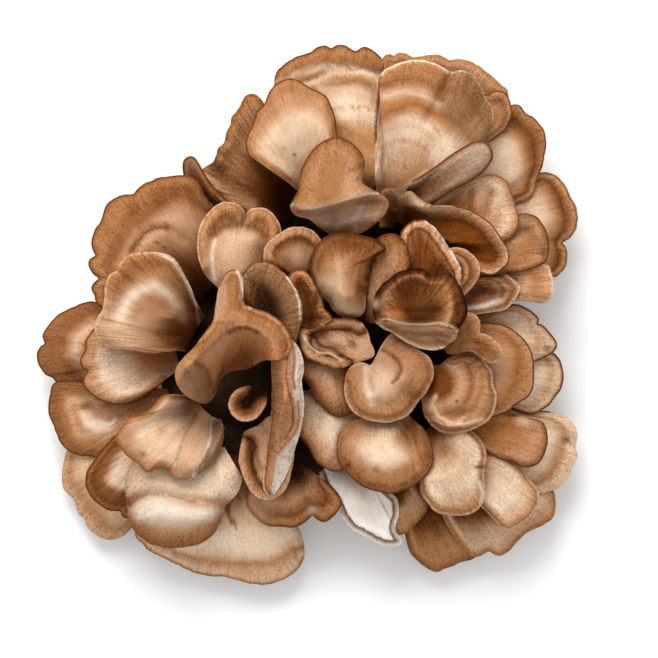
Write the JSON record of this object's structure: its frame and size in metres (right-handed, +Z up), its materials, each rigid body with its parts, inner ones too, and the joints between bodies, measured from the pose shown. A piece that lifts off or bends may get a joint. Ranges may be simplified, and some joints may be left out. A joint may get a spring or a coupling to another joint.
{
  "type": "maitake mushroom",
  "caption": "Fresh maitake mushroom cluster, cut from the ground: thin overlapping ruffled fronds that grow in rosettes from one short, broad, cut stem base.",
  "frame": {"origin": "middle of the flat cut under the stem base, on the surface that the mushroom stands on", "axes": "+Z up; +Y towards the back fans of the cluster, +X towards its right side"},
  "size_m": [0.2688, 0.269, 0.1218],
  "materials": {
    "flesh": "matt, fibrous, off-white flesh",
    "cap_pale": "matt, finely streaked cream cap",
    "cap_tan": "matt, finely streaked tan cap with rings parallel to the margin",
    "cap_brown": "matt, finely streaked brown cap with a dark margin",
    "cap_grey": "matt grey-brown cap, wrinkled along the ribs",
    "cap_orange": "matt, finely streaked orange-brown cap"
  },
  "bodies": {
    "root": {"stem_base": "flesh", "back_edge_frond": "cap_tan", "right_shoulder_frond": "cap_pale", "back_right_frond": "cap_pale", "back_right_lobe": "cap_orange", "left_edge_frond": "cap_tan", "front_left_corner_frond": "cap_pale", "left_lower_frond": "cap_orange", "front_wide_frond": "cap_tan", "front_right_small_frond": "cap_tan", "front_right_frond": "cap_pale", "right_lower_frond": "cap_tan", "right_small_frond": "cap_pale", "right_middle_frond": "cap_tan", "back_fan": "cap_orange", "back_left_dark_frond": "cap_grey", "left_dark_blade": "cap_brown", "left_back_fan": "cap_tan", "left_under_frond": "cap_pale", "front_left_cup_frond": "cap_brown", "front_right_pale_frond": "cap_pale", "right_bright_frond": "cap_orange", "right_brown_frond": "cap_brown", "front_tan_frond": "cap_tan", "front_curled_frond": "flesh", "front_dark_fan": "cap_brown", "back_left_pale_frond": "cap_pale", "back_right_fan": "cap_tan", "right_curl_low": "cap_pale", "right_swirl_curl": "cap_pale", "right_low_lip": "cap_orange", "right_bumpy_frond": "cap_orange", "left_middle_fan": "cap_tan", "front_left_curled_frond": "flesh", "left_bright_frond": "cap_tan", "front_right_ridge_frond": "cap_tan", "front_middle_frond": "cap_pale", "right_striped_frond": "cap_pale", "back_fold_lobe": "cap_grey", "right_folded_frond": "cap_brown", "right_curl_high": "cap_tan", "front_kidney_cap": "cap_tan", "centre_front_frond": "cap_tan", "left_notched_cap": "cap_pale", "centre_left_cap": "cap_tan", "front_left_rolled_frond": "cap_brown", "left_small_cup": "cap_brown", "crown_front_lip_frond": "cap_tan", "crown_streaked_frond": "cap_brown", "crown_side_lobe": "cap_brown", "crown_round_cap": "cap_tan", "crown_rolled_frond": "cap_brown", "crown_kidney_cap": "cap_pale", "right_small_lobes": "cap_tan", "crown_small_ear": "cap_pale", "crown_left_dark_frond": "cap_brown", "left_long_wall": "flesh", "left_twisted_frond": "cap_tan", "crown_centre_disc": "cap_brown"}
  },
  "joints": []
}
